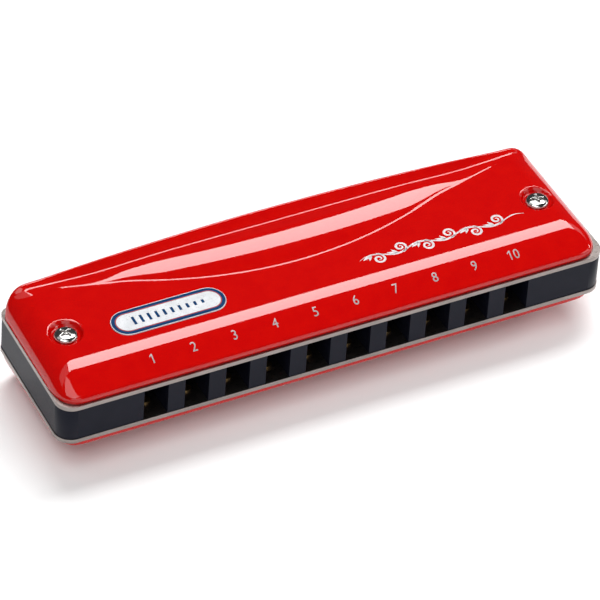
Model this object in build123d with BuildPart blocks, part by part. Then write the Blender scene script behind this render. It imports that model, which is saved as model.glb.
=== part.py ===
"""Ten-hole harmonica: comb, two reed plates with twenty sprung reeds, and two pressed covers.

Frame: +X runs along the instrument towards hole 10, +Y to the back, +Z up.
The origin is the centre of the bounding box's bottom, so the mouth holes face -Y.
"""
from build123d import *
from math import cos, radians, sin, tan
import os

os.makedirs("parts", exist_ok=True)

# ---- driving dimensions, millimetres -------------------------------------------------------
HOLES = 10
PITCH = 7.5                     # centre to centre of the mouth holes
LENGTH = 102.0                  # reed plates, along their front edge
DEPTH = 27.0                    # reed plates, front to back
TAPER = radians(1.3)            # each end leans inwards towards the back
CORNER = 3.0                    # plan radius of the reed plates' front corners
BACK_SHARPER = 1.2              # the back corners' radius is this much smaller

COMB_HEIGHT = 6.4
COMB_INSET = 0.1                # the comb stands this far inside the plates' edge
CHANNEL = 4.4                   # channel width, which is also the mouth hole's width
PLATE = 0.8                     # reed plate thickness

SHEET = 0.5                     # cover sheet thickness
COVER_INSET = 0.4               # cover's foot inside the plates' edge, front and back
END_INSET = 0.3                 # and at the two ends
COVER_CORNER = 2.6              # plan radius of the cover's corners
STRIP_RISE = 1.5                # height of the cover's steep foot above the plate
STRIP_ROUND = 0.7               # radius between that foot and the number strip
RIDGE_IN = 5.4                  # ridge between the number strip and the deck, from the plates' front
RIDGE_UP = 7.75                 # ridge, above the comb's middle
STEP_IN = 24.0                  # where the deck turns up into the back step
STEP_UP = 8.4                   # deck at that line, above the comb's middle
BACK_STEP = 0.75                # rise of the back step
LIP_ROUND = 0.4                 # chamfer between the back step and the back wall
CRESCENT_RISE = 1.45            # how far the crescent lifts the deck and the step at the middle
CRESCENT_TIP = 0.1              # how far the crescent's tips run in under the deck
CRESCENT_HALF = 45.0
CRESCENT_STATIONS = 6           # sections along each half of the crescent
FOOT_IN = 14.7                  # crescent's front foot at the middle, from the plates' front
SHOULDER_IN = 19.7              # crescent's shoulder at the middle, from the plates' front
FOOT_TIP_IN = 22.8              # foot and shoulder at the crescent's tips
SHOULDER_TIP_IN = 23.5
END_ROLL = 4.2                  # width of the rolled end, from the deck's crease to the wall
BACK_OPENING = 80.0             # sound opening at the back, between the cover's two closed corners
BACK_OPENING_UP = 8.6           # its upper edge, above the comb's middle

REED_WIDTH = 2.1
REED_THICKNESS = 0.2
REED_GAP = 0.03                 # tongue's rest height off its plate
SLOT_CLEARANCE = 0.05
LONGEST_REED = 15.5
REED_STEP = 0.68                # each reed is this much shorter than the one before it
ROOT_IN = 5.8                   # hinge line of every tongue, from the plates' front
ROOT_CLEARANCE = 0.03
PAD_LENGTH = 3.2
PAD_THICKNESS = 0.3
RIVET_SHANK = 0.6
RIVET_HEAD = 0.9
RIVET_HEAD_HEIGHT = 0.35

SCREW_X = 44.3                  # cover screws, either side of the middle
SCREW_IN = 13.45                # from the plates' front
SCREW_RADIUS = 1.0
SCREW_HOLE = 1.15
HEAD_RADIUS = 2.0
HEAD_HEIGHT = 0.9
SEAT_RADIUS = 2.9               # dished seat pressed into the cover
SEAT_DEPTH = 0.85
NUT_RADIUS = 1.6
NUT_LENGTH = 2.9

PLATE_SCREWS = [(-37.0, 24.6), (0.0, 24.6), (37.0, 24.6), (-41.0, 5.0), (41.0, 5.0)]
PLATE_SCREW_RADIUS = 0.7
PLATE_SCREW_HEAD = 1.5
PLATE_SCREW_HEAD_HEIGHT = 0.8

# ---- derived -------------------------------------------------------------------------------
FRONT = -DEPTH / 2
MIDDLE = STEP_UP + BACK_STEP + CRESCENT_RISE     # height of the comb's middle plane
COMB_TOP = MIDDLE + COMB_HEIGHT / 2
COMB_BOTTOM = MIDDLE - COMB_HEIGHT / 2
PLATE_TOP = COMB_TOP + PLATE
PLATE_BOTTOM = COMB_BOTTOM - PLATE
BACK_IN = DEPTH - COVER_INSET   # cover's back edge, from the plates' front
DECK_SLOPE = (STEP_UP - RIDGE_UP) / (STEP_IN - RIDGE_IN)
SEAT_UP = RIDGE_UP + DECK_SLOPE * (SCREW_IN - RIDGE_IN) - SEAT_DEPTH
HOLE_X = [(index - (HOLES - 1) / 2) * PITCH for index in range(HOLES)]
REED_LENGTH = [LONGEST_REED - REED_STEP * index for index in range(HOLES)]
BLOW_AXIS = COMB_TOP - REED_GAP - REED_THICKNESS / 2
DRAW_AXIS = PLATE_BOTTOM - REED_GAP - REED_THICKNESS / 2
mid_plane = Plane.XY.offset(MIDDLE)


def save(part, name):
    """Label a finished piece and write it as its own STEP."""
    part.label = name
    export_step(part, f"parts/{name}.step")


def outline(inset, corner, end_inset=None):
    """Plan outline of the plates, comb or covers, moved inwards by inset, or end_inset at the ends."""
    front_half = LENGTH / 2 - (inset if end_inset is None else end_inset)
    back_half = front_half - DEPTH * tan(TAPER)
    with BuildSketch() as plan:
        with BuildLine():
            Polyline(
                (-front_half, FRONT + inset),
                (front_half, FRONT + inset),
                (back_half, -FRONT - inset),
                (-back_half, -FRONT - inset),
                close=True,
            )
        make_face()
        fillet(plan.vertices().group_by(Axis.Y)[0], radius=corner)
        fillet(plan.vertices().group_by(Axis.Y)[-1], radius=corner - BACK_SHARPER)
    return plan.sketch


def deck_up(inward):
    """Height of the cover's flat deck above the comb's middle, at a distance from the front."""
    return RIDGE_UP + DECK_SLOPE * (inward - RIDGE_IN)


# ---- comb ----------------------------------------------------------------------------------
with BuildPart() as comb:
    with BuildSketch(Plane.XY.offset(COMB_BOTTOM)):
        add(outline(COMB_INSET, CORNER - COMB_INSET))
    extrude(amount=COMB_HEIGHT)
    for x, reed in zip(HOLE_X, REED_LENGTH):
        back = ROOT_IN + reed + 1.2
        with BuildSketch(Plane.XY.offset(COMB_BOTTOM)):
            with Locations((x, FRONT + back / 2 - 0.5)):
                Rectangle(CHANNEL, back + 1.0)
        extrude(amount=COMB_HEIGHT, mode=Mode.SUBTRACT)
    with Locations(*[(x, FRONT + y, COMB_TOP) for x, y in PLATE_SCREWS]):
        Hole(radius=PLATE_SCREW_RADIUS)
    with Locations((-SCREW_X, FRONT + SCREW_IN, COMB_TOP), (SCREW_X, FRONT + SCREW_IN, COMB_TOP)):
        Hole(radius=SCREW_HOLE)
save(comb.part, "comb")


# ---- reed plates ---------------------------------------------------------------------------
def reed_plate(bottom):
    """A plate with one slot per reed, one rivet hole per reed, and its screw holes."""
    with BuildPart() as plate:
        with BuildSketch(Plane.XY.offset(bottom)):
            add(outline(0.0, CORNER))
        extrude(amount=PLATE)
        for x, reed in zip(HOLE_X, REED_LENGTH):
            slot = reed + 0.15 + SLOT_CLEARANCE
            with BuildSketch(Plane.XY.offset(bottom)):
                with Locations((x, FRONT + ROOT_IN - 0.15 + slot / 2)):
                    Rectangle(REED_WIDTH + 2 * SLOT_CLEARANCE, slot)
            extrude(amount=PLATE, mode=Mode.SUBTRACT)
        with Locations(*[(x, FRONT + ROOT_IN - PAD_LENGTH / 2, bottom + PLATE) for x in HOLE_X]):
            Hole(radius=RIVET_SHANK)
        with Locations(*[(x, FRONT + y, bottom + PLATE) for x, y in PLATE_SCREWS]):
            Hole(radius=PLATE_SCREW_RADIUS)
        with Locations((-SCREW_X, FRONT + SCREW_IN, bottom + PLATE),
                       (SCREW_X, FRONT + SCREW_IN, bottom + PLATE)):
            Hole(radius=SCREW_HOLE)
    return plate.part


save(reed_plate(COMB_TOP), "blow_reed_plate")
save(reed_plate(PLATE_BOTTOM), "draw_reed_plate")


# ---- reeds ---------------------------------------------------------------------------------
def tongue(x, length, axis_height):
    """A reed's free tongue, with a round root centred on its hinge line."""
    half = REED_THICKNESS / 2
    with BuildPart() as reed:
        with BuildSketch(Plane.YZ.offset(x - REED_WIDTH / 2)):
            with BuildLine():
                root = (FRONT + ROOT_IN, axis_height)
                tip = FRONT + ROOT_IN + length
                Line((root[0], root[1] + half), (tip, root[1] + half))
                Line((tip, root[1] + half), (tip, root[1] - half))
                Line((tip, root[1] - half), (root[0], root[1] - half))
                ThreePointArc((root[0], root[1] - half), (root[0] - half, root[1]), (root[0], root[1] + half))
            make_face()
        extrude(amount=REED_WIDTH)
    return reed.part


for number, (x, reed_length) in enumerate(zip(HOLE_X, REED_LENGTH), start=1):
    save(tongue(x, reed_length, BLOW_AXIS), f"blow_reed_{number}")
    save(tongue(x, reed_length, DRAW_AXIS), f"draw_reed_{number}")


def reed_pads(plate_face):
    """The riveted feet of ten reeds, under the plate face at this height."""
    pad_end = ROOT_IN - REED_THICKNESS / 2 - ROOT_CLEARANCE
    pad_start = ROOT_IN - PAD_LENGTH
    with BuildPart() as pads:
        with BuildSketch(Plane.XY.offset(plate_face - PAD_THICKNESS)):
            with Locations(*[(x, FRONT + (pad_start + pad_end) / 2) for x in HOLE_X]):
                Rectangle(REED_WIDTH + 0.3, pad_end - pad_start)
        extrude(amount=PAD_THICKNESS)
        with Locations(*[(x, FRONT + ROOT_IN - PAD_LENGTH / 2, plate_face) for x in HOLE_X]):
            Hole(radius=RIVET_SHANK)
    return pads.part


def reed_rivets(plate_face):
    """Ten rivets through a plate and the feet under it, with a head on each side."""
    spots = [(x, FRONT + ROOT_IN - PAD_LENGTH / 2) for x in HOLE_X]
    low = plate_face - PAD_THICKNESS
    high = plate_face + PLATE
    with BuildPart() as rivets:
        with BuildSketch(Plane.XY.offset(low)):
            with Locations(*spots):
                Circle(RIVET_SHANK)
        extrude(amount=high - low)
        with BuildSketch(Plane.XY.offset(high)):
            with Locations(*spots):
                Circle(RIVET_HEAD)
        extrude(amount=RIVET_HEAD_HEIGHT)
        with BuildSketch(Plane.XY.offset(low - RIVET_HEAD_HEIGHT)):
            with Locations(*spots):
                Circle(RIVET_HEAD)
        extrude(amount=RIVET_HEAD_HEIGHT)
    return rivets.part


save(reed_pads(COMB_TOP), "blow_reed_pads")
save(reed_pads(PLATE_BOTTOM), "draw_reed_pads")
save(reed_rivets(COMB_TOP), "blow_reed_rivets")
save(reed_rivets(PLATE_BOTTOM), "draw_reed_rivets")


# ---- covers --------------------------------------------------------------------------------
def cover_form(gap):
    """The solid under the cover's outer skin, with that skin moved inwards by gap."""
    foot_up = PLATE_TOP - MIDDLE - (1.0 if gap else 0.0)
    with BuildPart() as form:
        with BuildSketch(Plane.YZ.offset(-LENGTH / 2)):
            with BuildLine():
                Polyline(
                    (FRONT + COVER_INSET + gap, MIDDLE + foot_up),
                    (FRONT + COVER_INSET + 0.15 + gap, PLATE_TOP + STRIP_RISE - gap / 2),
                    (FRONT + RIDGE_IN + gap / 5, MIDDLE + RIDGE_UP - gap),
                    (FRONT + STEP_IN + gap / 3, MIDDLE + STEP_UP - gap),
                    (FRONT + BACK_IN - LIP_ROUND - gap / 2, MIDDLE + STEP_UP + BACK_STEP - gap),
                    (FRONT + BACK_IN - gap, MIDDLE + STEP_UP + BACK_STEP - LIP_ROUND - gap),
                    (FRONT + BACK_IN - gap, MIDDLE + foot_up),
                    close=True,
                )
            face = make_face()
            strip_foot = face.vertices().group_by(Axis.Y)[1]
            ridge = face.vertices().group_by(Axis.Y)[2]
            fillet(strip_foot, radius=STRIP_ROUND - gap)
            fillet(ridge, radius=3.0 - gap)
        extrude(amount=LENGTH)
        for station in range(-CRESCENT_STATIONS, CRESCENT_STATIONS + 1):
            share = station / CRESCENT_STATIONS
            lift = (CRESCENT_RISE + CRESCENT_TIP) * (1 - share**2) - CRESCENT_TIP - gap
            foot = FOOT_IN + (FOOT_TIP_IN - FOOT_IN) * share**2
            shoulder = SHOULDER_IN + (SHOULDER_TIP_IN - SHOULDER_IN) * share**2
            foot_low = MIDDLE + deck_up(foot) - 0.05 - gap
            with BuildSketch(Plane.YZ.offset(share * CRESCENT_HALF)):
                with BuildLine():
                    Polyline(
                        (FRONT + foot - 0.1 + gap / 3, foot_low),
                        (FRONT + shoulder + gap / 6, MIDDLE + deck_up(shoulder) + lift),
                        (FRONT + STEP_IN + gap / 3, MIDDLE + STEP_UP + lift),
                        (FRONT + BACK_IN - LIP_ROUND - gap / 2, MIDDLE + STEP_UP + BACK_STEP + lift),
                        (FRONT + BACK_IN - gap, MIDDLE + STEP_UP + BACK_STEP - LIP_ROUND + lift),
                        (FRONT + BACK_IN - gap, foot_low - 1.5),
                        (FRONT + foot - 0.1 + gap / 3, foot_low - 1.5),
                        close=True,
                    )
                make_face()
        loft(ruled=True)
        with BuildSketch(Plane.XY):
            add(outline(COVER_INSET + gap, COVER_CORNER - gap, END_INSET + gap))
        extrude(amount=2 * MIDDLE, mode=Mode.INTERSECT)
        along = Vector(-sin(TAPER), cos(TAPER), cos(TAPER) * DECK_SLOPE).normalized()
        wall = LENGTH / 2 - END_INSET
        start = Vector(wall, FRONT + COVER_INSET, MIDDLE + deck_up(COVER_INSET)) - along * 2
        end_plane = Plane(origin=start + along * (DEPTH + 4), x_dir=(cos(TAPER), sin(TAPER), 0), z_dir=-along)
        with BuildSketch(end_plane) as end_roll:
            with BuildLine():
                CenterArc((-END_ROLL, -END_ROLL), END_ROLL - gap, 0, 90)
                Line((-gap, -END_ROLL), (END_ROLL, -END_ROLL))
                Line((END_ROLL, -END_ROLL), (END_ROLL, END_ROLL))
                Line((END_ROLL, END_ROLL), (-END_ROLL, END_ROLL))
                Line((-END_ROLL, END_ROLL), (-END_ROLL, -gap))
            make_face()
        right_end = extrude(amount=DEPTH + 8, mode=Mode.PRIVATE)
        add(right_end, mode=Mode.SUBTRACT)
        add(mirror(right_end, about=Plane.YZ, mode=Mode.PRIVATE), mode=Mode.SUBTRACT)
    return form.part


screw_spots = [(-SCREW_X, FRONT + SCREW_IN), (SCREW_X, FRONT + SCREW_IN)]


def cover(hole_radius):
    """A pressed cover standing on the upper plate, with two dished seats and an open back."""
    with BuildPart() as shell:
        add(cover_form(0.0))
        add(cover_form(SHEET), mode=Mode.SUBTRACT)
        with BuildSketch(Plane.XY.offset(MIDDLE + SEAT_UP - SHEET)):
            with Locations(*screw_spots):
                Circle(SEAT_RADIUS + SHEET)
        extrude(amount=SEAT_DEPTH)
        with BuildSketch(Plane.XY.offset(MIDDLE + SEAT_UP)):
            with Locations(*screw_spots):
                Circle(SEAT_RADIUS)
        extrude(amount=2 * SEAT_DEPTH, mode=Mode.SUBTRACT)
        with Locations(*[(x, y, MIDDLE + SEAT_UP) for x, y in screw_spots]):
            Hole(radius=hole_radius, depth=SHEET)
        with BuildSketch(Plane.XY.offset(PLATE_TOP)):
            with Locations((0, FRONT + BACK_IN)):
                Rectangle(BACK_OPENING, 4 * SHEET)
        extrude(amount=MIDDLE + BACK_OPENING_UP - PLATE_TOP, mode=Mode.SUBTRACT)
    return shell.part


save(cover(SCREW_HOLE), "top_cover")
save(mirror(cover(NUT_RADIUS), about=mid_plane), "bottom_cover")

# ---- cover screws and their nuts -----------------------------------------------------------
with BuildPart() as cover_screws:
    with BuildSketch(Plane.XY.offset(MIDDLE - SEAT_UP)):
        with Locations(*screw_spots):
            Circle(SCREW_RADIUS)
    extrude(amount=2 * SEAT_UP)
    with BuildSketch(Plane.XY.offset(MIDDLE + SEAT_UP)):
        with Locations(*screw_spots):
            Circle(HEAD_RADIUS)
    extrude(amount=HEAD_HEIGHT)
    fillet(cover_screws.edges().filter_by(GeomType.CIRCLE).group_by(Axis.Z)[-1], radius=0.6)
    with BuildSketch(Plane.XY.offset(MIDDLE + SEAT_UP + HEAD_HEIGHT)):
        with Locations(*screw_spots):
            Rectangle(2.2, 0.45)
            Rectangle(0.45, 2.2)
    extrude(amount=-0.55, mode=Mode.SUBTRACT)
save(cover_screws.part, "cover_screws")

with BuildPart() as cover_nuts:
    with BuildSketch(Plane.XY.offset(MIDDLE - SEAT_UP - HEAD_HEIGHT)):
        with Locations(*screw_spots):
            Circle(HEAD_RADIUS)
    extrude(amount=HEAD_HEIGHT)
    fillet(cover_nuts.edges().filter_by(GeomType.CIRCLE).group_by(Axis.Z)[0], radius=0.5)
    with BuildSketch(Plane.XY.offset(MIDDLE - SEAT_UP)):
        with Locations(*screw_spots):
            Circle(NUT_RADIUS)
    extrude(amount=NUT_LENGTH)
    with BuildSketch(Plane.XY.offset(MIDDLE - SEAT_UP)):
        with Locations(*screw_spots):
            Circle(SCREW_RADIUS)
    extrude(amount=NUT_LENGTH, mode=Mode.SUBTRACT)
    with BuildSketch(Plane.XY.offset(MIDDLE - SEAT_UP - HEAD_HEIGHT)):
        with Locations(*screw_spots):
            Rectangle(2 * HEAD_RADIUS, 0.5)
    extrude(amount=0.4, mode=Mode.SUBTRACT)
save(cover_nuts.part, "cover_nuts")

# ---- reed plate screws ---------------------------------------------------------------------
plate_screw_spots = [(x, FRONT + y) for x, y in PLATE_SCREWS]
with BuildPart() as reed_plate_screws:
    with BuildSketch(Plane.XY.offset(PLATE_BOTTOM)):
        with Locations(*plate_screw_spots):
            Circle(PLATE_SCREW_RADIUS)
    extrude(amount=PLATE_TOP - PLATE_BOTTOM)
    with BuildSketch(Plane.XY.offset(PLATE_TOP)):
        with Locations(*plate_screw_spots):
            Circle(PLATE_SCREW_HEAD)
    extrude(amount=PLATE_SCREW_HEAD_HEIGHT)
    fillet(reed_plate_screws.edges().filter_by(GeomType.CIRCLE).group_by(Axis.Z)[-1], radius=0.3)
    with BuildSketch(Plane.XY.offset(PLATE_TOP + PLATE_SCREW_HEAD_HEIGHT)):
        with Locations(*plate_screw_spots):
            Rectangle(2 * PLATE_SCREW_HEAD, 0.4)
    extrude(amount=-0.35, mode=Mode.SUBTRACT)
save(reed_plate_screws.part, "reed_plate_screws")
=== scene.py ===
"""Ten-hole harmonica: lacquered covers, prints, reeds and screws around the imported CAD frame.

Helpers work in millimetres: x along the instrument, u inwards from the reed plates' front edge,
and h above the comb's middle. object_from turns these into metres in the row frame.
"""
from math import atan2, cos, hypot, pi, radians, sin, sqrt, tan

import bmesh
import bpy
from mathutils import Matrix, Vector


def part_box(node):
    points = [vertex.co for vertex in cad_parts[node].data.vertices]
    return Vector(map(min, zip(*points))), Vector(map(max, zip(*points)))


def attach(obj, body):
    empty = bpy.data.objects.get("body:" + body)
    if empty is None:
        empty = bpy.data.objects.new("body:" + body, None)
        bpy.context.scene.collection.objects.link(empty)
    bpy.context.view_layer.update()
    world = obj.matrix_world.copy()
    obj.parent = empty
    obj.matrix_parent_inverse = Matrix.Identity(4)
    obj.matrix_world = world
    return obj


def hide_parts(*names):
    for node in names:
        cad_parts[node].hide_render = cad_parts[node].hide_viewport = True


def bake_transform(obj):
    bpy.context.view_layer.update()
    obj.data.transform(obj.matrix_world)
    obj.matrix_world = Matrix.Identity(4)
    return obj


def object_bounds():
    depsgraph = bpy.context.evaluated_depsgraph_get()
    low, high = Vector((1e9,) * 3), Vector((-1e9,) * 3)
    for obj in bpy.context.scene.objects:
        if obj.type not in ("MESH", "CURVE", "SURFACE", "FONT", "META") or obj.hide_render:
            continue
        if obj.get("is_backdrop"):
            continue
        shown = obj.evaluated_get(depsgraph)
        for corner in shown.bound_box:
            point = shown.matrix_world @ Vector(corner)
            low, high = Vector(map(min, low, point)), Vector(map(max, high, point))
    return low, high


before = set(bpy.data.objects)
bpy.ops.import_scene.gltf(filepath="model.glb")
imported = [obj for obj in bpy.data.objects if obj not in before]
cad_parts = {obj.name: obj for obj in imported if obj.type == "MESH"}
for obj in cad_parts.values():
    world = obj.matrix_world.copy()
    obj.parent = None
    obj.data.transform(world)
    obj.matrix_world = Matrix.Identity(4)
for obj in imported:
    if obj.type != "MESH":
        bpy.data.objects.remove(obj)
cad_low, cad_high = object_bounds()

MM = 0.001

# ---- levels read from the frame, millimetres -------------------------------------------------
plate_low, plate_high = [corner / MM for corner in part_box("blow_reed_plate")]
comb_low, comb_high = [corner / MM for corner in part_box("comb")]
cover_low, cover_high = [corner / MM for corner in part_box("top_cover")]
FRONT = plate_low.y
MIDDLE = (comb_low.z + comb_high.z) / 2
PLATE_UP = plate_high.z - MIDDLE
COVER_IN = cover_low.y - FRONT
BACK_IN = cover_high.y - FRONT
COVER_HALF = cover_high.x
COVER_SHIFT = -0.25             # the covers sit a little off centre, as in the photo

# ---- the cover's pressed shape, millimetres --------------------------------------------------
TAPER = tan(radians(1.3)) * (plate_high.y - plate_low.y) / (BACK_IN - COVER_IN)
RIDGE_IN, RIDGE_UP = 5.4, 7.75
STEP_IN, STEP_UP = 24.0, 8.4
DECK_SLOPE = (STEP_UP - RIDGE_UP) / (STEP_IN - RIDGE_IN)
STRIP_SLOPE = 0.505
RIDGE_SOFT = 2.3                # the ridge is rounded this far on each side
FOOT_ROUND = 0.7
END_ROLL = 5.2                  # widest reach of the rolled ends, at the back
FRONT_END_ROLL = 4.2            # their reach at the front
END_ROLL_SHARE = 0.9            # how much of the cover's height they take up
END_CREASE = 0.09               # slope at which they leave the deck
END_CREASE_SOFT = 0.12
BACK_ROUND = 0.55
BACK_CORNER = 3.2               # how far the back corners' rounding runs in from the back
STEP_SLOPE = 0.39
STEP_SOFT = 0.22
STEP_SWEEP = 1.0                # how much further back the step's foot lies at SWEEP_HALF
SWEEP_HALF, SWEEP_LIMIT = 40.0, 1.15
CREST_LIFT = 1.38               # arch of the back edge
CRESCENT_SINK = 0.1
CRESCENT_HALF = 45.0
CRESCENT_SLOPE = 0.365
PLATEAU_LIFT, PLATEAU_HALF = 1.52, 34.0
SAG_SLOPE, SAG_SOFT = 0.2, 0.5      # the crescent falls a little again towards the back step
TAIL_LIFT, TAIL_HALF = 0.12, 47.0
FOOT_IN, FOOT_BOW = 14.85, 0.0071       # the crescent's foot, as distance in and curvature
TAIL_IN, TAIL_BOW, TAIL_SOFT = 18.1, 0.0033, 0.5
RAMP_IN, RAMP_BOW = 16.6, 0.0038        # where its steep ramp begins to level off
RAMP_SOFT = 2.8
CREASE_SOFT = 0.22
PLATEAU_SOFT = 0.25
SCREW_X, SCREW_IN = 44.3, 13.45
SEAT_UP = 7.18
DISH_OUT, DISH_IN = 3.1, 2.35
SHEET = 0.5
OPENING_HALF, OPENING_UP, OPENING_ROUND = 40.0, 8.6, 1.4


def object_from(name, bm, body="harp", smooth=True):
    """A mesh object from a bmesh in millimetres, riding on a CAD body unless body is None."""
    bmesh.ops.scale(bm, vec=(MM, MM, MM), verts=bm.verts)
    mesh = bpy.data.meshes.new(name)
    bm.to_mesh(mesh)
    bm.free()
    for polygon in mesh.polygons:
        polygon.use_smooth = smooth
    made = bpy.data.objects.new(name, mesh)
    bpy.context.scene.collection.objects.link(made)
    if body:
        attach(made, body)
    return made


def place(x, u, h):
    """A point of the row frame, in millimetres."""
    return Vector((x, FRONT + u, MIDDLE + h))


def soft_ramp(value, half):
    """max(value, 0) with its corner rounded over half on each side."""
    if value <= -half:
        return 0.0
    if value >= half:
        return value
    return (value + half) ** 2 / (4 * half)


def wall_x(u):
    """Half length of the cover at a distance from the front."""
    return COVER_HALF - (u - COVER_IN) * TAPER


def deck(u):
    return RIDGE_UP + DECK_SLOPE * (u - RIDGE_IN)


def step_in(x):
    """Foot of the back step at x, swept towards the back at the ends."""
    return STEP_IN + STEP_SWEEP * min(abs(x) / SWEEP_HALF, SWEEP_LIMIT) ** 2


def crest_lift(x):
    """Arch of the back edge."""
    share = min(abs(x) / CRESCENT_HALF, 1.0)
    return max(CREST_LIFT * (1 - share**2) - CRESCENT_SINK, 0.0)


def crescent_lines(x):
    """Lift of the crescent at x, its foot, its shoulder, and how far the shoulder is rounded."""
    lift = soft_ramp(PLATEAU_LIFT * (1 - (x / PLATEAU_HALF) ** 2), PLATEAU_SOFT)
    lift += TAIL_LIFT * max(1 - (x / TAIL_HALF) ** 2, 0.0)
    bow = FOOT_IN + FOOT_BOW * x**2
    foot = bow - soft_ramp(bow - TAIL_IN - TAIL_BOW * x**2, TAIL_SOFT)
    width = lift / CRESCENT_SLOPE
    ramp_end = max(RAMP_IN + RAMP_BOW * x**2, foot)
    soft = min(max(foot + width - ramp_end, 0.4 * width), RAMP_SOFT, width)
    return lift, foot, foot + width, soft


def crescent(x, u):
    """How far the pressed crescent lifts the deck."""
    lift, foot, shoulder, soft = crescent_lines(x)
    if lift <= 0:
        return 0.0
    rise = soft_ramp(u - foot, min(CREASE_SOFT, (shoulder - foot) / 2))
    rise -= soft_ramp(u - shoulder, soft)
    step = step_in(x)
    summit = min(shoulder + 0.7 * soft, step - SAG_SOFT)
    share = SAG_SLOPE * lift / (PLATEAU_LIFT + TAIL_LIFT)
    sag = share * (soft_ramp(u - summit, SAG_SOFT) - soft_ramp(u - step, STEP_SOFT))
    behind = min(max((u - step) / (BACK_IN - 0.3 - step), 0.0), 1.0)
    level = lift - share * (step - summit)
    return CRESCENT_SLOPE * rise - sag + (crest_lift(x) - level) * behind**1.5


def front_fall(d):
    """How far the strip lies under the deck's plane, d inwards from the cover's front."""
    ridge = RIDGE_IN - COVER_IN
    slope = STRIP_SLOPE - DECK_SLOPE
    fall = slope * soft_ramp(ridge - d, RIDGE_SOFT)
    angle = atan2(STRIP_SLOPE, 1)
    reach = FOOT_ROUND * (1 - sin(angle))
    if d < reach:
        strip = slope * (ridge - reach)
        arc = sqrt(max(FOOT_ROUND**2 - (FOOT_ROUND - d) ** 2, 0.0)) - FOOT_ROUND * cos(angle)
        fall = strip - arc + DECK_SLOPE * (d - reach)
    return fall


def round_fall(d, radius):
    """Fall of a quarter round, d inwards from its wall."""
    if d >= radius:
        return 0.0
    return radius - sqrt(max(radius**2 - (radius - d) ** 2, 0.0))


def end_fall(d, u):
    """Fall of the rolled end, from a faint crease in the deck to almost the plate."""
    reach = FRONT_END_ROLL + (END_ROLL - FRONT_END_ROLL) * min(max(u / BACK_IN, 0.0), 1.0)
    drop = END_ROLL_SHARE * (deck(u) - PLATE_UP)
    rolled = round_fall(d, reach) * drop / reach
    return rolled + END_CREASE * soft_ramp(reach - d - END_CREASE_SOFT, END_CREASE_SOFT)


def back_fall(d):
    return round_fall(d, BACK_ROUND)


FRONT_WIDTH = RIDGE_IN - COVER_IN + RIDGE_SOFT


def skin(x, u, seat=True):
    """Height of a cover's outer skin, mirrored for the lower cover."""
    step = STEP_SLOPE * soft_ramp(u - step_in(x), STEP_SOFT)
    height = deck(u) + crescent(x, u) + step
    total = 0.0
    falls = []
    edges = (
        (u - COVER_IN, FRONT_WIDTH, front_fall),
        (BACK_IN - u, BACK_CORNER, back_fall),
        (wall_x(u) - abs(x - COVER_SHIFT), END_ROLL, lambda d: end_fall(d, u)),
    )
    for distance, width, fall in edges:
        weight = max(1 - max(distance, 0.0) / width, 0.0) ** 3
        total += weight
        falls.append((weight, width, fall))
    if total > 0:
        share = 1 - min(total, 1.0) ** (1 / 3)
        height -= sum(weight * fall(share * width) for weight, width, fall in falls) / total
    if seat:
        r = hypot(abs(x) - SCREW_X, u - SCREW_IN)
        if r < DISH_OUT:
            t = min(max((r - DISH_IN) / (DISH_OUT - DISH_IN), 0.0), 1.0)
            height = SEAT_UP + (height - SEAT_UP) * t * t * (3 - 2 * t)
    return height


def spread(marks, counts):
    """Values through the marks, each gap cut into its count of equal steps."""
    values = [marks[0]]
    for low, high, count in zip(marks, marks[1:], counts):
        values += [low + (high - low) * k / count for k in range(1, count + 1)]
    return values


def deck_rows(x):
    """Grid rows of the deck at x, which follow the crescent's foot and shoulder."""
    lift, foot, shoulder, soft = crescent_lines(x)
    crease = min(CREASE_SOFT, max((shoulder - foot) / 2, 0.05))
    marks = [
        COVER_IN + FRONT_WIDTH,
        foot - crease,
        foot + crease,
        shoulder - soft,
        shoulder + soft,
        BACK_IN - BACK_CORNER,
    ]
    for k in range(len(marks) - 2, 0, -1):
        marks[k] = min(marks[k], marks[k + 1] - 0.1)
    return spread(marks, (34, 6, 8, 14, 8))


LEVELS = 26
level_list = [(k / LEVELS) ** 1.5 for k in range(LEVELS)]       # 0 at the wall, under 1 at the deck
half_columns = spread([0.0, 38.0, OPENING_HALF], (58, 6))
flat_columns = [-x for x in reversed(half_columns[1:])] + half_columns
JOIN = 10                       # columns between the flat middle and each rolled end


def column_x(index, u):
    """x of an inner column at u: fixed in the middle, following the tapered ends outside it."""
    last = wall_x(u) - END_ROLL
    if index < JOIN:
        share = (JOIN - index) / JOIN
        return -(OPENING_HALF + (last - COVER_SHIFT - OPENING_HALF) * share)
    if index >= JOIN + len(flat_columns):
        share = (index - JOIN - len(flat_columns) + 1) / JOIN
        return OPENING_HALF + (last + COVER_SHIFT - OPENING_HALF) * share
    return flat_columns[index - JOIN]


COLUMNS = len(flat_columns) + 2 * JOIN
FAN = 14                        # spokes that fill each corner
BLOCK_X, BLOCK_IN, BLOCK_END = 3.9, 3.75, 2.35      # grid left out around each screw
RING_OUT, RING_NEAR = 3.5, 3.2                      # rings between that block and the dish
BLOCK_MARGIN = 0.7
WALL_RINGS = 3
HEM_PROFILE = ((0.12, 0.1), (0.35, 0.16), (1.25, 0.16))     # inwards and down from the edge


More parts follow.
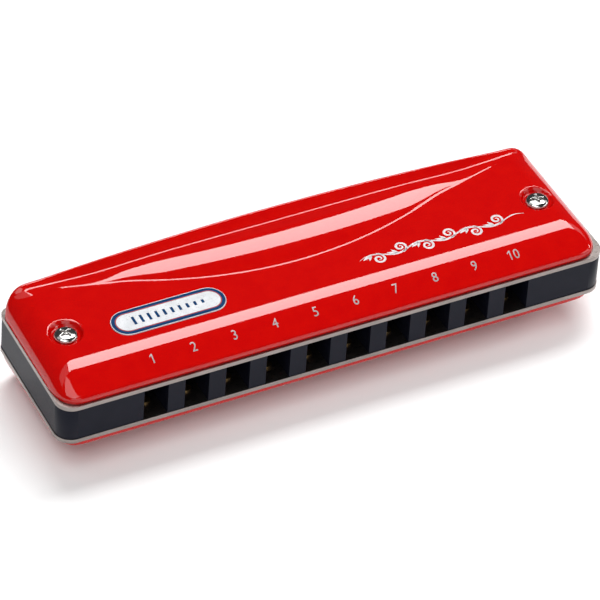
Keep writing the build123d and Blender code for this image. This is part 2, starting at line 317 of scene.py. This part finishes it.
def build_cover(name, node, up, hole_radius):
    """A pressed cover as one closed sheet. up is 1 for the upper cover and -1 for the lower one."""
    bm = bmesh.new()

    def vertex(x, u, h=None):
        return bm.verts.new((x, FRONT + u, MIDDLE + up * (skin(x, u) if h is None else h)))

    def face(*corners):
        ring = []
        for corner in corners:
            if corner not in ring:
                ring.append(corner)
        if len(ring) > 2:
            bm.faces.new(ring if up > 0 else reversed(ring))

    # rows of the deck: the last one is where the back corners begin
    row_count = len(deck_rows(0))
    inner = {}
    for i in range(COLUMNS):
        rows = deck_rows(column_x(i, 17.0))
        for j in range(row_count):
            inner[i, j] = (column_x(i, rows[j]), rows[j])
    end_rows = deck_rows(CRESCENT_HALF + 1)
    points = {}
    for (i, j), at in inner.items():
        points["deck", i, j] = at
    for side, last in ((-1, 0), (1, COLUMNS - 1)):
        for j in range(row_count):
            u = end_rows[j]
            for k, level in enumerate(level_list):
                points["end", side, j, k] = (side * (wall_x(u) - END_ROLL * level) + COVER_SHIFT, u)
    # leave a square out of the grid around each screw
    skipped = set()
    near_rows = [j for j, u in enumerate(deck_rows(SCREW_X)) if abs(u - SCREW_IN) < BLOCK_IN]
    for side in (-1, 1):
        near = [i for i in range(COLUMNS) if abs(abs(column_x(i, SCREW_IN)) - SCREW_X) < BLOCK_X]
        for i in near:
            if column_x(i, SCREW_IN) * side < 0:
                continue
            for j in near_rows:
                skipped.add(("deck", i, j))
        for j in near_rows:
            for k in range(len(level_list)):
                if END_ROLL * level_list[k] > BLOCK_END:
                    skipped.add(("end", side, j, k))
    verts = {key: vertex(*at) for key, at in points.items() if key not in skipped}

    open_edges = {-1: [], 1: []}

    def quad(side, *keys):
        """A face, or where a corner is left out, the kept edge that bounds the screw's disc."""
        if any(key in skipped for key in keys):
            for a, b in zip(keys, keys[1:] + keys[:1]):
                if a not in skipped and b not in skipped:
                    open_edges[side].append((verts[a], verts[b]))
            return
        face(*[verts[key] for key in keys])

    def chain(side, last, row):
        """Keys of a row from the last inner column out to the end wall."""
        return [("deck", last, row)] + [("end", side, row, k) for k in reversed(range(LEVELS))]

    for j in range(row_count - 1):
        for i in range(COLUMNS - 1):
            side = -1 if i < COLUMNS // 2 else 1
            quad(
                side,
                ("deck", i, j),
                ("deck", i + 1, j),
                ("deck", i + 1, j + 1),
                ("deck", i, j + 1),
            )
        for side, last in ((-1, 0), (1, COLUMNS - 1)):
            front_row = chain(side, last, j)
            back_row = chain(side, last, j + 1)
            for k in range(LEVELS):
                ring = [front_row[k], front_row[k + 1], back_row[k + 1], back_row[k]]
                if side < 0:
                    ring = [ring[1], ring[0], ring[3], ring[2]]
                quad(side, *ring)
    # a disc of rings down into each screw's seat
    for side in (-1, 1):
        rim = set()
        for a, b in open_edges[side]:
            rim.update((a, b))
        centre = Vector((side * SCREW_X, FRONT + SCREW_IN))
        ordered = sorted(rim, key=lambda v: atan2(v.co.y - centre.y, v.co.x - centre.x))
        radii = [RING_OUT, RING_NEAR] + spread([DISH_OUT, DISH_IN, hole_radius], (12, 5))
        outer = ordered
        for radius in radii:
            ring = []
            for v in ordered:
                direction = Vector((v.co.x, v.co.y)) - centre
                full = direction.length
                reach = radius
                if radius > DISH_OUT:
                    reach = DISH_OUT + (full - DISH_OUT) * (radius - DISH_OUT) / BLOCK_MARGIN
                spot = centre + direction * (reach / full)
                ring.append(vertex(spot.x, spot.y - FRONT))
            for k in range(len(ring)):
                n = (k + 1) % len(ring)
                face(outer[k], outer[n], ring[n], ring[k])
            outer = ring
    # front and back edges, and the four corners as fans from the deck's corners
    loop = {}
    for edge, row, width in (("front", 0, FRONT_WIDTH), ("back", row_count - 1, BACK_CORNER)):
        start = COVER_IN if edge == "front" else BACK_IN
        sign = 1 if edge == "front" else -1
        grid = {}
        for i in range(COLUMNS):
            corner_u = inner[i, row][1]
            reach = abs(corner_u - start)
            for k, level in enumerate(level_list):
                u = start + sign * reach * level
                grid[i, k] = vertex(column_x(i, u), u)
            grid[i, LEVELS] = verts["deck", i, row]
        for i in range(COLUMNS - 1):
            for k in range(LEVELS):
                ring = [grid[i, k], grid[i + 1, k], grid[i + 1, k + 1], grid[i, k + 1]]
                face(*(ring if edge == "front" else reversed(ring)))
        loop[edge] = [grid[i, 0] for i in range(COLUMNS)]
        for side, last in ((-1, 0), (1, COLUMNS - 1)):
            pole = verts["deck", last, row]
            reach = abs(inner[last, row][1] - start)
            spokes = []
            for step in range(FAN + 1):
                angle = pi / 2 * step / FAN
                if step == 0:
                    spokes.append([grid[last, k] for k in range(LEVELS)])
                    continue
                if step == FAN:
                    spokes.append([verts["end", side, row, k] for k in range(LEVELS)])
                    continue
                stretch = (cos(angle) ** 3 + sin(angle) ** 3) ** (-1 / 3)
                spoke = []
                for level in level_list:
                    inwards = 1 - (1 - level) * cos(angle) * stretch
                    along = 1 - (1 - level) * sin(angle) * stretch
                    u = start + sign * reach * inwards
                    spoke.append(vertex(side * (wall_x(u) - END_ROLL * along) + COVER_SHIFT, u))
                spokes.append(spoke)
            for near, far in zip(spokes, spokes[1:]):
                flip = (side > 0) != (edge == "front")
                for k in range(LEVELS - 1):
                    ring = [near[k], far[k], far[k + 1], near[k + 1]]
                    face(*(reversed(ring) if flip else ring))
                ring = [near[-1], far[-1], pole]
                face(*(reversed(ring) if flip else ring))
            loop[edge, side] = [spoke[0] for spoke in spokes[1:-1]]
    for side in (-1, 1):
        loop["end", side] = [verts["end", side, j, 0] for j in range(row_count)]
    around = loop["front"] + loop["front", 1] + loop["end", 1] + loop["back", 1][::-1]
    around += loop["back"][::-1] + loop["back", -1]
    around += loop["end", -1][::-1] + loop["front", -1][::-1]

    def wall_foot(v):
        """Where the wall under a rim vertex ends: on the plate, or at the back opening's edge."""
        inside = OPENING_HALF + 0.01 - abs(v.co.x)
        if v.co.y - FRONT < BACK_IN - 0.01 or inside < 0:
            return PLATE_UP
        return OPENING_UP - round_fall(inside, OPENING_ROUND)

    previous = around
    feet = [wall_foot(v) for v in around]
    starts = [(v.co.z - MIDDLE) * up for v in around]
    for step in range(1, WALL_RINGS + 1):
        ring = []
        for v, foot, start in zip(around, feet, starts):
            height = start + (foot - start) * step / WALL_RINGS
            ring.append(vertex(v.co.x, v.co.y - FRONT, height))
        for k in range(len(ring)):
            n = (k + 1) % len(ring)
            face(previous[n], previous[k], ring[k], ring[n])
        previous = ring
    # a hem turned in along the back opening's upper edge
    hem = [v for v, foot in zip(previous, feet) if foot > PLATE_UP + 0.1]
    hem_feet = [foot for foot in feet if foot > PLATE_UP + 0.1]
    base = hem
    for inwards, drop in HEM_PROFILE:
        ring = [vertex(v.co.x, BACK_IN - inwards, foot - drop) for v, foot in zip(hem, hem_feet)]
        for k in range(len(ring) - 1):
            face(base[k + 1], base[k], ring[k], ring[k + 1])
        base = ring
    made = object_from(name, bm)
    sheet = made.modifiers.new("sheet", "SOLIDIFY")
    sheet.thickness = SHEET * MM
    sheet.offset = -1
    sheet.use_even_offset = True
    sheet.thickness_clamp = 2
    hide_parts(node)
    return made


# ---- materials -------------------------------------------------------------------------------
def shader(name, low, high, patch, rough, grain, height, stretch=(1, 1, 1), coat_height=0,
           **constants):
    """A Principled material whose colour drifts in patches and whose grain sets roughness and bump.

    The colour lies between low and high. patch and grain are feature sizes, height the bump's depth
    and coat_height the clear coat's, all in millimetres. rough is a range. stretch scales the grain's
    coordinates. The rest are constants of the shader's own sockets.
    """
    made = bpy.data.materials.new(name)
    made.use_nodes = True
    nodes = made.node_tree.nodes
    links = made.node_tree.links
    principled = nodes["Principled BSDF"]
    for socket, value in constants.items():
        principled.inputs[socket.replace("_", " ")].default_value = value
    where = nodes.new("ShaderNodeTexCoord")
    scaled = nodes.new("ShaderNodeMapping")
    scaled.inputs["Scale"].default_value = stretch
    links.new(where.outputs["Object"], scaled.inputs["Vector"])
    drift = nodes.new("ShaderNodeTexNoise")
    drift.inputs["Scale"].default_value = 1 / (patch * MM)
    drift.inputs["Detail"].default_value = 3
    links.new(where.outputs["Object"], drift.inputs["Vector"])
    colours = nodes.new("ShaderNodeValToRGB")
    colours.color_ramp.elements[0].position = 0.3
    colours.color_ramp.elements[0].color = (*low, 1)
    colours.color_ramp.elements[1].position = 0.7
    colours.color_ramp.elements[1].color = (*high, 1)
    links.new(drift.outputs["Fac"], colours.inputs["Fac"])
    links.new(colours.outputs["Color"], principled.inputs["Base Color"])
    fine = nodes.new("ShaderNodeTexNoise")
    fine.inputs["Scale"].default_value = 1 / (grain * MM)
    fine.inputs["Detail"].default_value = 4
    links.new(scaled.outputs["Vector"], fine.inputs["Vector"])
    spread_rough = nodes.new("ShaderNodeMapRange")
    spread_rough.inputs["From Min"].default_value = 0.3
    spread_rough.inputs["From Max"].default_value = 0.7
    spread_rough.inputs["To Min"].default_value = rough[0]
    spread_rough.inputs["To Max"].default_value = rough[1]
    links.new(fine.outputs["Fac"], spread_rough.inputs["Value"])
    links.new(spread_rough.outputs["Result"], principled.inputs["Roughness"])
    relief = nodes.new("ShaderNodeBump")
    relief.inputs["Distance"].default_value = height * MM
    links.new(fine.outputs["Fac"], relief.inputs["Height"])
    links.new(relief.outputs["Normal"], principled.inputs["Normal"])
    if coat_height:
        peel = nodes.new("ShaderNodeBump")
        peel.inputs["Distance"].default_value = coat_height * MM
        links.new(drift.outputs["Fac"], peel.inputs["Height"])
        links.new(peel.outputs["Normal"], principled.inputs["Coat Normal"])
    return made


def paint(piece, made):
    piece.data.materials.clear()
    piece.data.materials.append(made)


lacquer = shader(
    "red_lacquer", (0.44, 0.0, 0.0), (0.47, 0.0008, 0.0), 2.2, (0.42, 0.5), 0.25, 0.0006,
    coat_height=0.0006, Coat_Weight=1.0, Coat_Roughness=0.035, Coat_IOR=1.5, Specular_IOR_Level=0.0,
)
nickel = shader(
    "nickel_silver", (0.25, 0.22, 0.205), (0.31, 0.27, 0.255), 3.0, (0.26, 0.36), 0.12, 0.0008,
    stretch=(0.12, 1, 1), Metallic=1.0,
)
plastic = shader(
    "moulded_plastic", (0.003, 0.0035, 0.008), (0.005, 0.0055, 0.011), 4.0, (0.34, 0.44), 0.16,
    0.003,
    Specular_IOR_Level=0.14, Specular_Tint=(0.82, 0.84, 1.0, 1.0),
)
brass = shader(
    "milled_brass", (0.42, 0.28, 0.11), (0.50, 0.35, 0.15), 1.5, (0.22, 0.4), 0.1, 0.003,
    stretch=(0.15, 1, 1), Metallic=1.0,
)
rivet_brass = shader(
    "turned_brass", (0.40, 0.28, 0.12), (0.48, 0.36, 0.17), 0.6, (0.25, 0.4), 0.08, 0.002,
    Metallic=1.0,
)
chrome = shader(
    "plated_steel", (0.44, 0.43, 0.42), (0.54, 0.53, 0.52), 0.8, (0.07, 0.13), 0.1, 0.0015,
    Metallic=1.0,
)
steel = shader(
    "small_screw_steel", (0.36, 0.35, 0.34), (0.44, 0.43, 0.42), 0.8, (0.22, 0.36), 0.1, 0.002,
    stretch=(0.3, 1, 1), Metallic=1.0,
)
silver_ink = shader(
    "silver_ink", (0.36, 0.33, 0.34), (0.45, 0.42, 0.43), 0.5, (0.3, 0.45), 0.12, 0.001,
    Metallic=0.55, Coat_Weight=0.4, Coat_Roughness=0.15,
)
blue_enamel = shader(
    "blue_enamel", (0.0015, 0.026, 0.09), (0.0025, 0.036, 0.115), 1.2, (0.25, 0.35), 0.15, 0.0008,
    Specular_IOR_Level=0.05, Coat_Weight=0.5, Coat_Roughness=0.06,
)
pale_enamel = shader(
    "pale_enamel", (0.42, 0.43, 0.45), (0.50, 0.51, 0.525), 1.6, (0.25, 0.38), 0.15, 0.0008,
    Metallic=0.5, Coat_Weight=0.6, Coat_Roughness=0.08,
)
red_enamel = shader(
    "red_enamel", (0.32, 0.008, 0.008), (0.38, 0.012, 0.012), 1.2, (0.3, 0.4), 0.15, 0.0006,
    Coat_Weight=0.6, Coat_Roughness=0.08,
)
floor_paint = shader(
    "pale_floor", (0.86, 0.86, 0.86), (0.90, 0.90, 0.90), 60.0, (0.8, 0.95), 4.0, 0.002,
)

# ---- covers ----------------------------------------------------------------------------------
top = build_cover("upper_cover", "top_cover", 1, 1.15)
bottom = build_cover("lower_cover", "bottom_cover", -1, 1.6)
for piece in (top, bottom):
    paint(piece, lacquer)


# ---- thin raised prints and the badge, lying on the upper cover ---------------------------------
def slab(name, outline, low, high, made, bevel=0.0, hole=None):
    """A closed thin plate over an outline of (x, u), from low to high above the skin.

    hole is an inner outline that makes it a ring.
    """
    bm = bmesh.new()
    middle = sum((Vector(point) for point in outline), Vector((0, 0))) / len(outline)

    def ring(points, level, inset):
        verts = []
        for point in points:
            away = Vector(point) - middle
            spot = Vector(point) - away.normalized() * inset
            verts.append(bm.verts.new(place(spot.x, spot.y, skin(spot.x, spot.y, False) + level)))
        return verts

    rings = [ring(outline, low, 0), ring(outline, high - bevel, 0)]
    if bevel:
        rings.append(ring(outline, high, bevel))
    count = len(outline)
    for near, far in zip(rings, rings[1:]):
        for k in range(count):
            n = (k + 1) % count
            bm.faces.new((near[k], near[n], far[n], far[k]))
    if hole:
        inner_low = ring(hole, low, 0)
        inner_high = ring(hole, high, 0)
        for k in range(count):
            n = (k + 1) % count
            bm.faces.new((rings[-1][k], rings[-1][n], inner_high[n], inner_high[k]))
            bm.faces.new((inner_high[k], inner_high[n], inner_low[n], inner_low[k]))
            bm.faces.new((inner_low[k], inner_low[n], rings[0][n], rings[0][k]))
    else:
        bm.faces.new(rings[-1])
        bm.faces.new(reversed(rings[0]))
    piece = object_from(name, bm, smooth=False)
    paint(piece, made)
    return piece


def stadium(x, u, length, width, steps=16):
    """Outline of a bar with half-round ends, anticlockwise."""
    radius = width / 2
    reach = length / 2 - radius
    points = []
    for side in (1, -1):
        for k in range(steps + 1):
            angle = pi * k / steps - pi / 2
            along = reach + radius * cos(angle)
            points.append((x + side * along, u + side * radius * sin(angle)))
    return points


BADGE_X, BADGE_IN = -26.4, 11.6
BADGE_LONG, BADGE_WIDE = 20.8, 5.8


def badge_outline(inset):
    return stadium(BADGE_X, BADGE_IN, BADGE_LONG - 2 * inset, BADGE_WIDE - 2 * inset)


slab("badge_rim", badge_outline(0), -0.05, 0.16, pale_enamel, bevel=0.06)
slab("badge_border", badge_outline(0.14), 0.1, 0.18, blue_enamel, bevel=0.02)
slab("badge_line", badge_outline(0.78), 0.15, 0.2, red_enamel,
     hole=badge_outline(0.92))
slab("badge_field", badge_outline(0.96), 0.15, 0.205, pale_enamel, bevel=0.015)
BAR_PITCH, BAR_HALF = 1.4, 0.24
LONGEST_BAR, BAR_LOSS = 1.9, 0.12       # each bar is this much shorter than the one before
for bar in range(10):
    half_long = (LONGEST_BAR - BAR_LOSS * bar) / 2
    x = BADGE_X + BAR_PITCH * (bar - 4.5)
    outline = [
        (x - BAR_HALF, BADGE_IN - half_long),
        (x + BAR_HALF, BADGE_IN - half_long),
        (x + BAR_HALF, BADGE_IN + half_long),
        (x - BAR_HALF, BADGE_IN + half_long),
    ]
    slab(f"badge_bar_{bar + 1}", outline, 0.18, 0.235, blue_enamel, bevel=0.02)


def ribbons(name, strokes, made, low=-0.01, high=0.014):
    """Flat printed strokes on the skin. A stroke is a list of (x, u, half width)."""
    bm = bmesh.new()
    for stroke in strokes:
        sections = []
        for k, (x, u, half) in enumerate(stroke):
            before = stroke[max(k - 1, 0)]
            after = stroke[min(k + 1, len(stroke) - 1)]
            along = Vector((after[0] - before[0], after[1] - before[1])).normalized()
            across = Vector((-along.y, along.x)) * half
            section = []
            for side, level in ((1, low), (1, high), (-1, high), (-1, low)):
                sx, su = x + side * across.x, u + side * across.y
                section.append(bm.verts.new(place(sx, su, skin(sx, su, False) + level)))
            sections.append(section)
        for near, far in zip(sections, sections[1:]):
            for k in range(4):
                n = (k + 1) % 4
                bm.faces.new((near[k], near[n], far[n], far[k]))
        bm.faces.new(reversed(sections[0]))
        bm.faces.new(sections[-1])
    bmesh.ops.recalc_face_normals(bm, faces=bm.faces)
    piece = object_from(name, bm, smooth=False)
    paint(piece, made)
    return piece


SCROLL_LEFT, SCROLL_RIGHT, SCROLL_IN = 8.8, 40.4, 10.7
WAVE, SWING = 9.2, 0.62                 # length and half height of the stem's wave
CURL_RADIUS, CURL_TURNS = 1.25, 1.6
LEAVES = ((0.35, 1.9), (0.95, 1.3))     # lean and length of the leaves at each curl


def shares(steps):
    """Evenly spaced numbers from 0 to 1."""
    return [k / steps for k in range(steps + 1)]


def scroll_strokes():
    """A running scroll: a gently waving stem with a spiral curl and two leaves at each half wave."""
    stem = []
    for t in shares(160):
        x = SCROLL_LEFT + (SCROLL_RIGHT - SCROLL_LEFT) * t
        phase = sin(2 * pi * (x - SCROLL_LEFT) / WAVE)
        swell = 0.13 + 0.08 * phase**2
        stem.append((x, SCROLL_IN + SWING * phase, swell * min(1.0, 0.2 + 5 * t, 0.2 + 5 * (1 - t))))
    strokes = [stem]
    curls = int((SCROLL_RIGHT - SCROLL_LEFT) / (WAVE / 2))
    for curl in range(curls):
        root = SCROLL_LEFT + WAVE / 4 + WAVE / 2 * curl
        side = -1 if curl % 2 == 0 else 1
        stem_side = SCROLL_IN - side * SWING * 0.9
        turn = []
        for t in shares(60):
            angle = side * (-pi / 2 + 2 * pi * CURL_TURNS * t)
            radius = CURL_RADIUS * (1 - 0.86 * t**0.8)
            x = root + 1.1 + radius * cos(angle)
            u = stem_side + side * CURL_RADIUS + radius * sin(angle)
            turn.append((x, u, 0.03 + 0.15 * (1 - t) + 0.09 * sin(pi * t)))
        strokes.append(turn)
        for lean, long in LEAVES:
            leaf = []
            for t in shares(15):
                x = root + 0.1 - long * t * cos(lean)
                u = stem_side + side * (0.1 + long * t * sin(lean) * (0.6 + 0.4 * t))
                leaf.append((x, u, 0.02 + 0.24 * sin(pi * t**0.8) ** 0.9))
            strokes.append(leaf)
    return strokes


ribbons("scroll_print", scroll_strokes(), silver_ink)


FIGURE_SIZE, FIGURE_SQUEEZE = 2.55, 0.88
FIGURE_IN = 2.62                # foot of the figures, inwards from the plates' front
FIGURE_ASIDE = 0.65             # how far right of its hole a figure stands
INK = 0.012                     # half the thickness of the figures
INK_LIFT = 0.008
LONGEST_EDGE = 0.3              # longer edges are cut, so that figures follow the curved strip


def add_flag(bm):
    """The short stroke that leads up to the top of a figure one."""
    left = min(v.co.x for v in bm.verts)
    top = max(v.co.y for v in bm.verts if v.co.x < left + 0.1)
    inside, outside = left + 0.05, left - 0.4
    flag = [(inside, top), (outside, top - 0.36), (outside, top - 0.6), (inside, top - 0.26)]
    lower, upper = [[bm.verts.new((x, y, level)) for x, y in flag] for level in (-INK, INK)]
    for k in range(4):
        n = (k + 1) % 4
        bm.faces.new((lower[k], upper[k], upper[n], lower[n]))
    bm.faces.new(lower)
    bm.faces.new(reversed(upper))


def number_print(text, x):
    """A printed hole number, lying on the strip with its foot towards the front."""
    curve = bpy.data.curves.new("number", "FONT")
    curve.body = text
    curve.size = FIGURE_SIZE
    curve.align_x = "CENTER"
    curve.extrude = INK
    curve.offset = 0.002
    curve.resolution_u = 4
    scratch = bpy.data.objects.new("number", curve)
    bpy.context.scene.collection.objects.link(scratch)
    bpy.context.view_layer.update()
    solved = scratch.evaluated_get(bpy.context.evaluated_depsgraph_get())
    mesh = bpy.data.meshes.new_from_object(solved)
    bpy.data.objects.remove(scratch)
    bpy.data.curves.remove(curve)
    bm = bmesh.new()
    bm.from_mesh(mesh)
    bpy.data.meshes.remove(mesh)
    bmesh.ops.remove_doubles(bm, verts=bm.verts, dist=0.0005)
    if text.startswith("1"):
        add_flag(bm)
    bmesh.ops.triangulate(bm, faces=bm.faces)
    for _ in range(4):
        long_edges = [edge for edge in bm.edges if edge.calc_length() > LONGEST_EDGE]
        bmesh.ops.subdivide_edges(bm, edges=long_edges, cuts=1)
        bmesh.ops.triangulate(bm, faces=bm.faces)
    lean = sqrt(1 + STRIP_SLOPE**2)
    for v in bm.verts:
        spot_x = x + v.co.x * FIGURE_SQUEEZE
        spot_u = FIGURE_IN + v.co.y / lean
        raised = (v.co.z + INK_LIFT) / lean
        v.co = place(spot_x, spot_u - raised * STRIP_SLOPE, skin(spot_x, spot_u, False) + raised)
    piece = object_from(f"number_{text}", bm, smooth=False)
    paint(piece, silver_ink)


for number in range(1, 11):
    low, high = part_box(f"blow_reed_{number}")
    number_print(str(number), (low.x + high.x) / 2 / MM + FIGURE_ASIDE)


# ---- screws ----------------------------------------------------------------------------------
HEAD_RADIUS, SHANK_RADIUS, HEAD_RIM, HEAD_TOP = 2.0, 1.0, 0.3, 0.9
RECESS_DEPTH, RECESS_REACH, RECESS_RUN_OUT = 0.62, 1.15, 0.35
RECESS_HALF, RECESS_TAPER, RECESS_SIDE = 0.30, 0.08, 0.09


def cross_recess(x, y):
    """Depth of the cross recess at a point of the screw's head."""
    deepest = 0.0
    for a, b in ((x, y), (y, x)):
        width = RECESS_HALF - RECESS_TAPER * abs(a)
        across = min(max((width - abs(b)) / RECESS_SIDE, 0.0), 1.0)
        along = min(max((RECESS_REACH - abs(a)) / RECESS_RUN_OUT, 0.0), 1.0)
        deepest = max(deepest, RECESS_DEPTH * across * along)
    return deepest


def screw(name, side, turn):
    """A domed screw with a cross recess, and its shank down to the nut."""
    bm = bmesh.new()
    profile = [
        (0.0, -SEAT_UP),
        (SHANK_RADIUS - 0.15, -SEAT_UP),
        (SHANK_RADIUS, -SEAT_UP + 0.15),
        (SHANK_RADIUS, SEAT_UP),
        (HEAD_RADIUS - 0.12, SEAT_UP),
        (HEAD_RADIUS, SEAT_UP + 0.1),
        (HEAD_RADIUS, SEAT_UP + HEAD_RIM),
    ]
    dome_start = len(profile)
    for k in range(1, 31):
        r = HEAD_RADIUS * (1 - k / 30)
        dome = (HEAD_TOP - HEAD_RIM) * sqrt(max(1 - (r / HEAD_RADIUS) ** 2.6, 0.0))
        profile.append((r, SEAT_UP + HEAD_RIM + dome))
    segments = 120
    rings = []
    for index, (r, h) in enumerate(profile):
        if r == 0.0:
            level = h - (cross_recess(0, 0) if index else 0.0)
            rings.append([bm.verts.new(place(side * SCREW_X, SCREW_IN, level))])
            continue
        ring = []
        for k in range(segments):
            angle = 2 * pi * k / segments
            x, y = r * cos(angle), r * sin(angle)
            drop = 0.0
            if index >= dome_start:
                drop = cross_recess(x * cos(turn) + y * sin(turn), y * cos(turn) - x * sin(turn))
            ring.append(bm.verts.new(place(side * SCREW_X + x, SCREW_IN + y, h - drop)))
        rings.append(ring)
    for near, far in zip(rings, rings[1:]):
        for k in range(segments):
            n = (k + 1) % segments
            if len(near) == 1:
                bm.faces.new((near[0], far[n], far[k]))
            elif len(far) == 1:
                bm.faces.new((near[k], near[n], far[0]))
            else:
                bm.faces.new((near[k], near[n], far[n], far[k]))
    piece = object_from(name, bm)
    paint(piece, chrome)
    return piece


left_screw = screw("cover_screw_left", -1, radians(25))
right_screw = screw("cover_screw_right", 1, radians(-12))
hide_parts("cover_screws")
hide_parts("cover_screws")


# ---- reeds -----------------------------------------------------------------------------------
ROOT_IN = 5.8                   # where the free tongue begins
ROOT_LENGTH = 1.6               # how far the tongue reaches back under its foot
REED_THICK, REED_THINNING = 0.2, 0.085
REED_EDGE, TIP_CORNER = 0.03, 0.12


def reed(kind, number):
    """A profiled tongue whose root lies in its riveted foot."""
    node = f"{kind}_reed_{number}"
    low, high = [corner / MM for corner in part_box(node)]
    bm = bmesh.new()
    middle = (low.x + high.x) / 2
    half = (high.x - low.x) / 2
    tip = high.y - FRONT
    start = ROOT_IN - ROOT_LENGTH
    stations = 28
    sections = []
    for k in range(stations + 1):
        t = k / stations
        u = start + (tip - start) * t
        free = max((u - ROOT_IN) / (tip - ROOT_IN), 0.0)
        thick = REED_THICK - REED_THINNING * sin(pi * min(free * 1.15, 1.0)) ** 0.8
        top_h = high.z - MIDDLE
        corner = TIP_CORNER if k == stations else 0.0
        outline = (
            (-half, -thick + REED_EDGE),
            (-half, -REED_EDGE),
            (-half + REED_EDGE, 0),
            (half - REED_EDGE, 0),
            (half, -REED_EDGE),
            (half, -thick + REED_EDGE),
            (half - REED_EDGE, -thick),
            (-half + REED_EDGE, -thick),
        )
        section = []
        for x, h in outline:
            x *= 1 - corner / half
            section.append(bm.verts.new(place(middle + x, u, top_h + h)))
        sections.append(section)
    for near, far in zip(sections, sections[1:]):
        for k in range(8):
            n = (k + 1) % 8
            bm.faces.new((near[k], near[n], far[n], far[k]))
    bm.faces.new(reversed(sections[0]))
    bm.faces.new(sections[-1])
    bmesh.ops.recalc_face_normals(bm, faces=bm.faces)
    piece = object_from(f"{kind}_tongue_{number}", bm, body=None, smooth=False)
    paint(piece, brass)
    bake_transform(piece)
    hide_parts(node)


for kind in ("blow", "draw"):
    for number in range(1, 11):
        reed(kind, number)

# ---- carried-over nodes ------------------------------------------------------------------------
kept = {
    "comb": (plastic, 0.12),
    "blow_reed_plate": (nickel, 0.07),
    "draw_reed_plate": (nickel, 0.07),
    "blow_reed_pads": (brass, 0.04),
    "draw_reed_pads": (brass, 0.04),
    "blow_reed_rivets": (rivet_brass, 0.14),
    "draw_reed_rivets": (rivet_brass, 0.14),
    "cover_nuts": (chrome, 0.06),
    "reed_plate_screws": (steel, 0.06),
}
for node, (made, softened) in kept.items():
    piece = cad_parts[node]
    if not piece.data.materials:
        paint(piece, made)
    for index in range(len(piece.material_slots)):
        piece.material_slots[index].material = made
    weld = piece.modifiers.new("weld", "WELD")
    weld.merge_threshold = 0.001 * MM
    bevel = piece.modifiers.new("softened_edges", "BEVEL")
    bevel.width = softened * MM
    bevel.segments = 2
    bevel.limit_method = "ANGLE"
    bevel.angle_limit = radians(40)
    bevel.harden_normals = False

# ---- floor, light and camera -------------------------------------------------------------------
bm = bmesh.new()
size = 6000.0
cells = 8
ticks = [size * (k / cells - 0.5) for k in range(cells + 1)]
grid = [[bm.verts.new((x, y, cad_low.z / MM)) for y in ticks] for x in ticks]
for i in range(cells):
    for j in range(cells):
        bm.faces.new((grid[i][j], grid[i + 1][j], grid[i + 1][j + 1], grid[i][j + 1]))
floor = object_from("floor", bm, body=None)
paint(floor, floor_paint)
floor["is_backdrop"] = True

world = bpy.data.worlds.new("studio")
world.use_nodes = True
world.node_tree.nodes["Background"].inputs["Color"].default_value = (1, 1, 1, 1)
world.node_tree.nodes["Background"].inputs["Strength"].default_value = 0.07
bpy.context.scene.world = world


def softbox(name, centre, look_at, length, width, radiance):
    """A rectangular area light of a given radiance, facing look_at."""
    light = bpy.data.lights.new(name, "AREA")
    light.shape = "RECTANGLE"
    light.size = length
    light.size_y = width
    light.energy = radiance * pi * length * width
    made = bpy.data.objects.new(name, light)
    bpy.context.scene.collection.objects.link(made)
    made.location = centre
    made.rotation_euler = (Vector(look_at) - Vector(centre)).to_track_quat("-Z", "Y").to_euler()
    return made


softbox("overhead_softbox", (0.40, 0.44, 1.0), (0.40, 0.44, 0.0), 0.9, 0.46, 10.5)
softbox("left_wing", (-0.55, 0.44, 1.0), (-0.55, 0.44, 0.0), 0.9, 0.46, 0.8)
softbox("right_wing", (1.35, 0.44, 1.0), (1.35, 0.44, 0.0), 0.9, 0.46, 1.3)
softbox("high_fill", (-0.95, -0.7, 2.4), (0, 0, 0), 2.0, 2.0, 2.7)
softbox("front_fill", (-0.9, -2.2, 0.9), (0, 0, 0), 2.2, 1.4, 1.6)
softbox("right_fill", (2.0, -1.4, 1.0), (0, 0, 0), 1.6, 1.4, 2.6)
softbox("right_corner_light", (2.2, -0.1, 1.0), (0, 0, 0), 0.35, 0.35, 12.0)
softbox("corner_light", (-0.75, -1.35, 1.9), (0, 0, 0), 0.35, 0.35, 9.0)

# the camera's place, aim, roll and lens come from a fit to the photograph's viewing angle
aim = Vector((0.36625, 0.65484, -0.66109))
roll = radians(4.2685)
level_right = aim.cross(Vector((0, 0, 1))).normalized()
level_up = level_right.cross(aim)
right = level_right * cos(roll) + level_up * sin(roll)
up = level_up * cos(roll) - level_right * sin(roll)
lens = bpy.data.cameras.new("camera")
lens.sensor_width = 36.0
lens.lens = 328.383
lens.clip_start = 0.01
lens.clip_end = 20.0
camera = bpy.data.objects.new("camera", lens)
bpy.context.scene.collection.objects.link(camera)
turned = Matrix((right, up, -aim)).transposed().to_4x4()
turned.translation = Vector((-0.33919, -0.60548, 0.62199))
camera.matrix_world = turned
bpy.context.scene.camera = camera
bpy.context.scene.view_settings.view_transform = "Standard"

# ---- the bounds of the shown pieces, with the floor left out ----------------------------------
# the size that the looks must keep
bpy.context.view_layer.update()
low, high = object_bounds()
